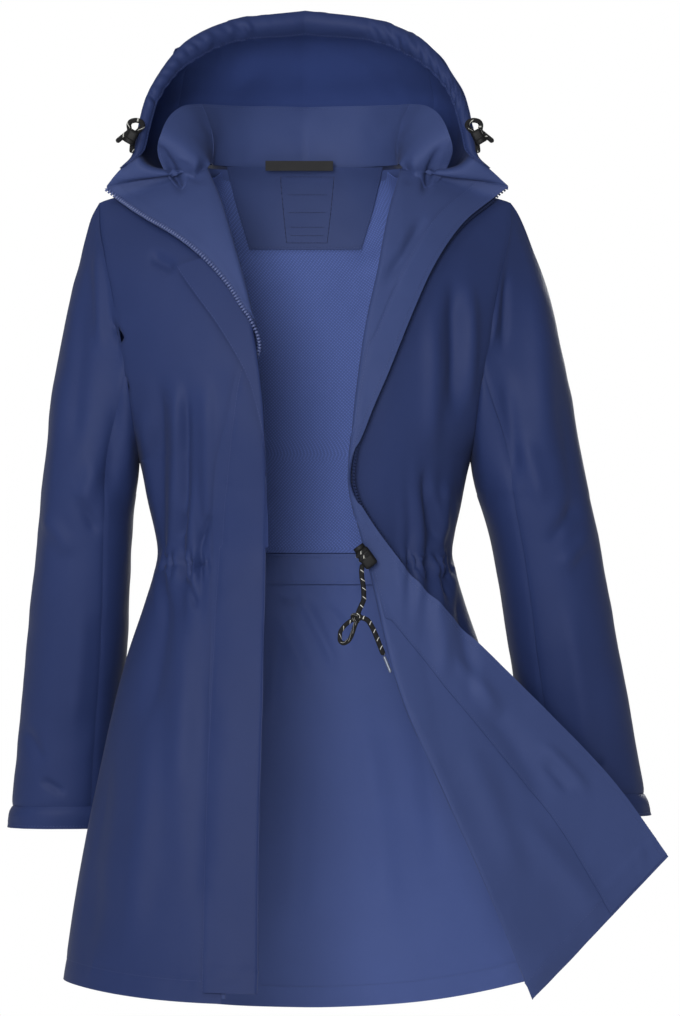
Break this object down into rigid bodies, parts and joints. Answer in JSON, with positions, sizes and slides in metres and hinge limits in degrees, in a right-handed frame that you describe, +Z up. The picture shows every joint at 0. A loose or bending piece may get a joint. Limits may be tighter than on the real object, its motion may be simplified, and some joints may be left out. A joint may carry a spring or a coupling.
{
  "type": "hooded raincoat",
  "caption": "Knee-length hooded raincoat worn open, its front edges turned back, waist drawn in by a cord, stand collar inside a cinched hood.",
  "frame": {"origin": "centre back of the neck seam, where the wearer's neck and shoulders carry the coat", "axes": "+Z up, -Y the way the coat faces, +X to the wearer's left"},
  "size_m": [0.6617, 0.3674, 1.0092],
  "materials": {
    "shell_cloth": "navy coated plain weave, soft sheen",
    "inner_cloth": "navy coated inner face, matt",
    "mesh_cloth": "fine knitted mesh, matt",
    "zip_tape": "woven tape with moulded teeth",
    "black_tape": "black woven tape",
    "black_plastic": "matt black",
    "cord": "black braided cord with a pale tracer"
  },
  "bodies": {
    "root": {"back": "shell_cloth", "front_right": "shell_cloth", "front_left": "shell_cloth", "storm_flap": "shell_cloth", "sleeve_upper_right": "shell_cloth", "sleeve_upper_left": "shell_cloth", "sleeve_under_right": "shell_cloth", "sleeve_under_left": "shell_cloth", "cuff_right": "shell_cloth", "cuff_left": "shell_cloth", "hood_side_right": "shell_cloth", "hood_side_left": "shell_cloth", "hood_centre": "shell_cloth", "hood_brim": "shell_cloth", "collar_right": "inner_cloth", "collar_left": "inner_cloth", "collar_back": "inner_cloth", "facing_left": "inner_cloth", "waist_casing": "inner_cloth", "neck_yoke": "inner_cloth", "mesh_lining": "mesh_cloth", "zip_tape_right": "zip_tape", "zip_tape_left": "zip_tape", "hanger_loop": "black_tape", "waist_cord_lock": "black_plastic", "hood_cord_lock_right": "black_plastic", "hood_cord_lock_left": "black_plastic", "waist_cord_drop": "cord", "waist_cord_knot": "cord", "waist_cord_loop": "cord", "waist_cord_tail": "cord", "waist_cord_tip": "cord", "hood_cord_right": "cord", "hood_cord_left": "cord"}
  },
  "joints": []
}
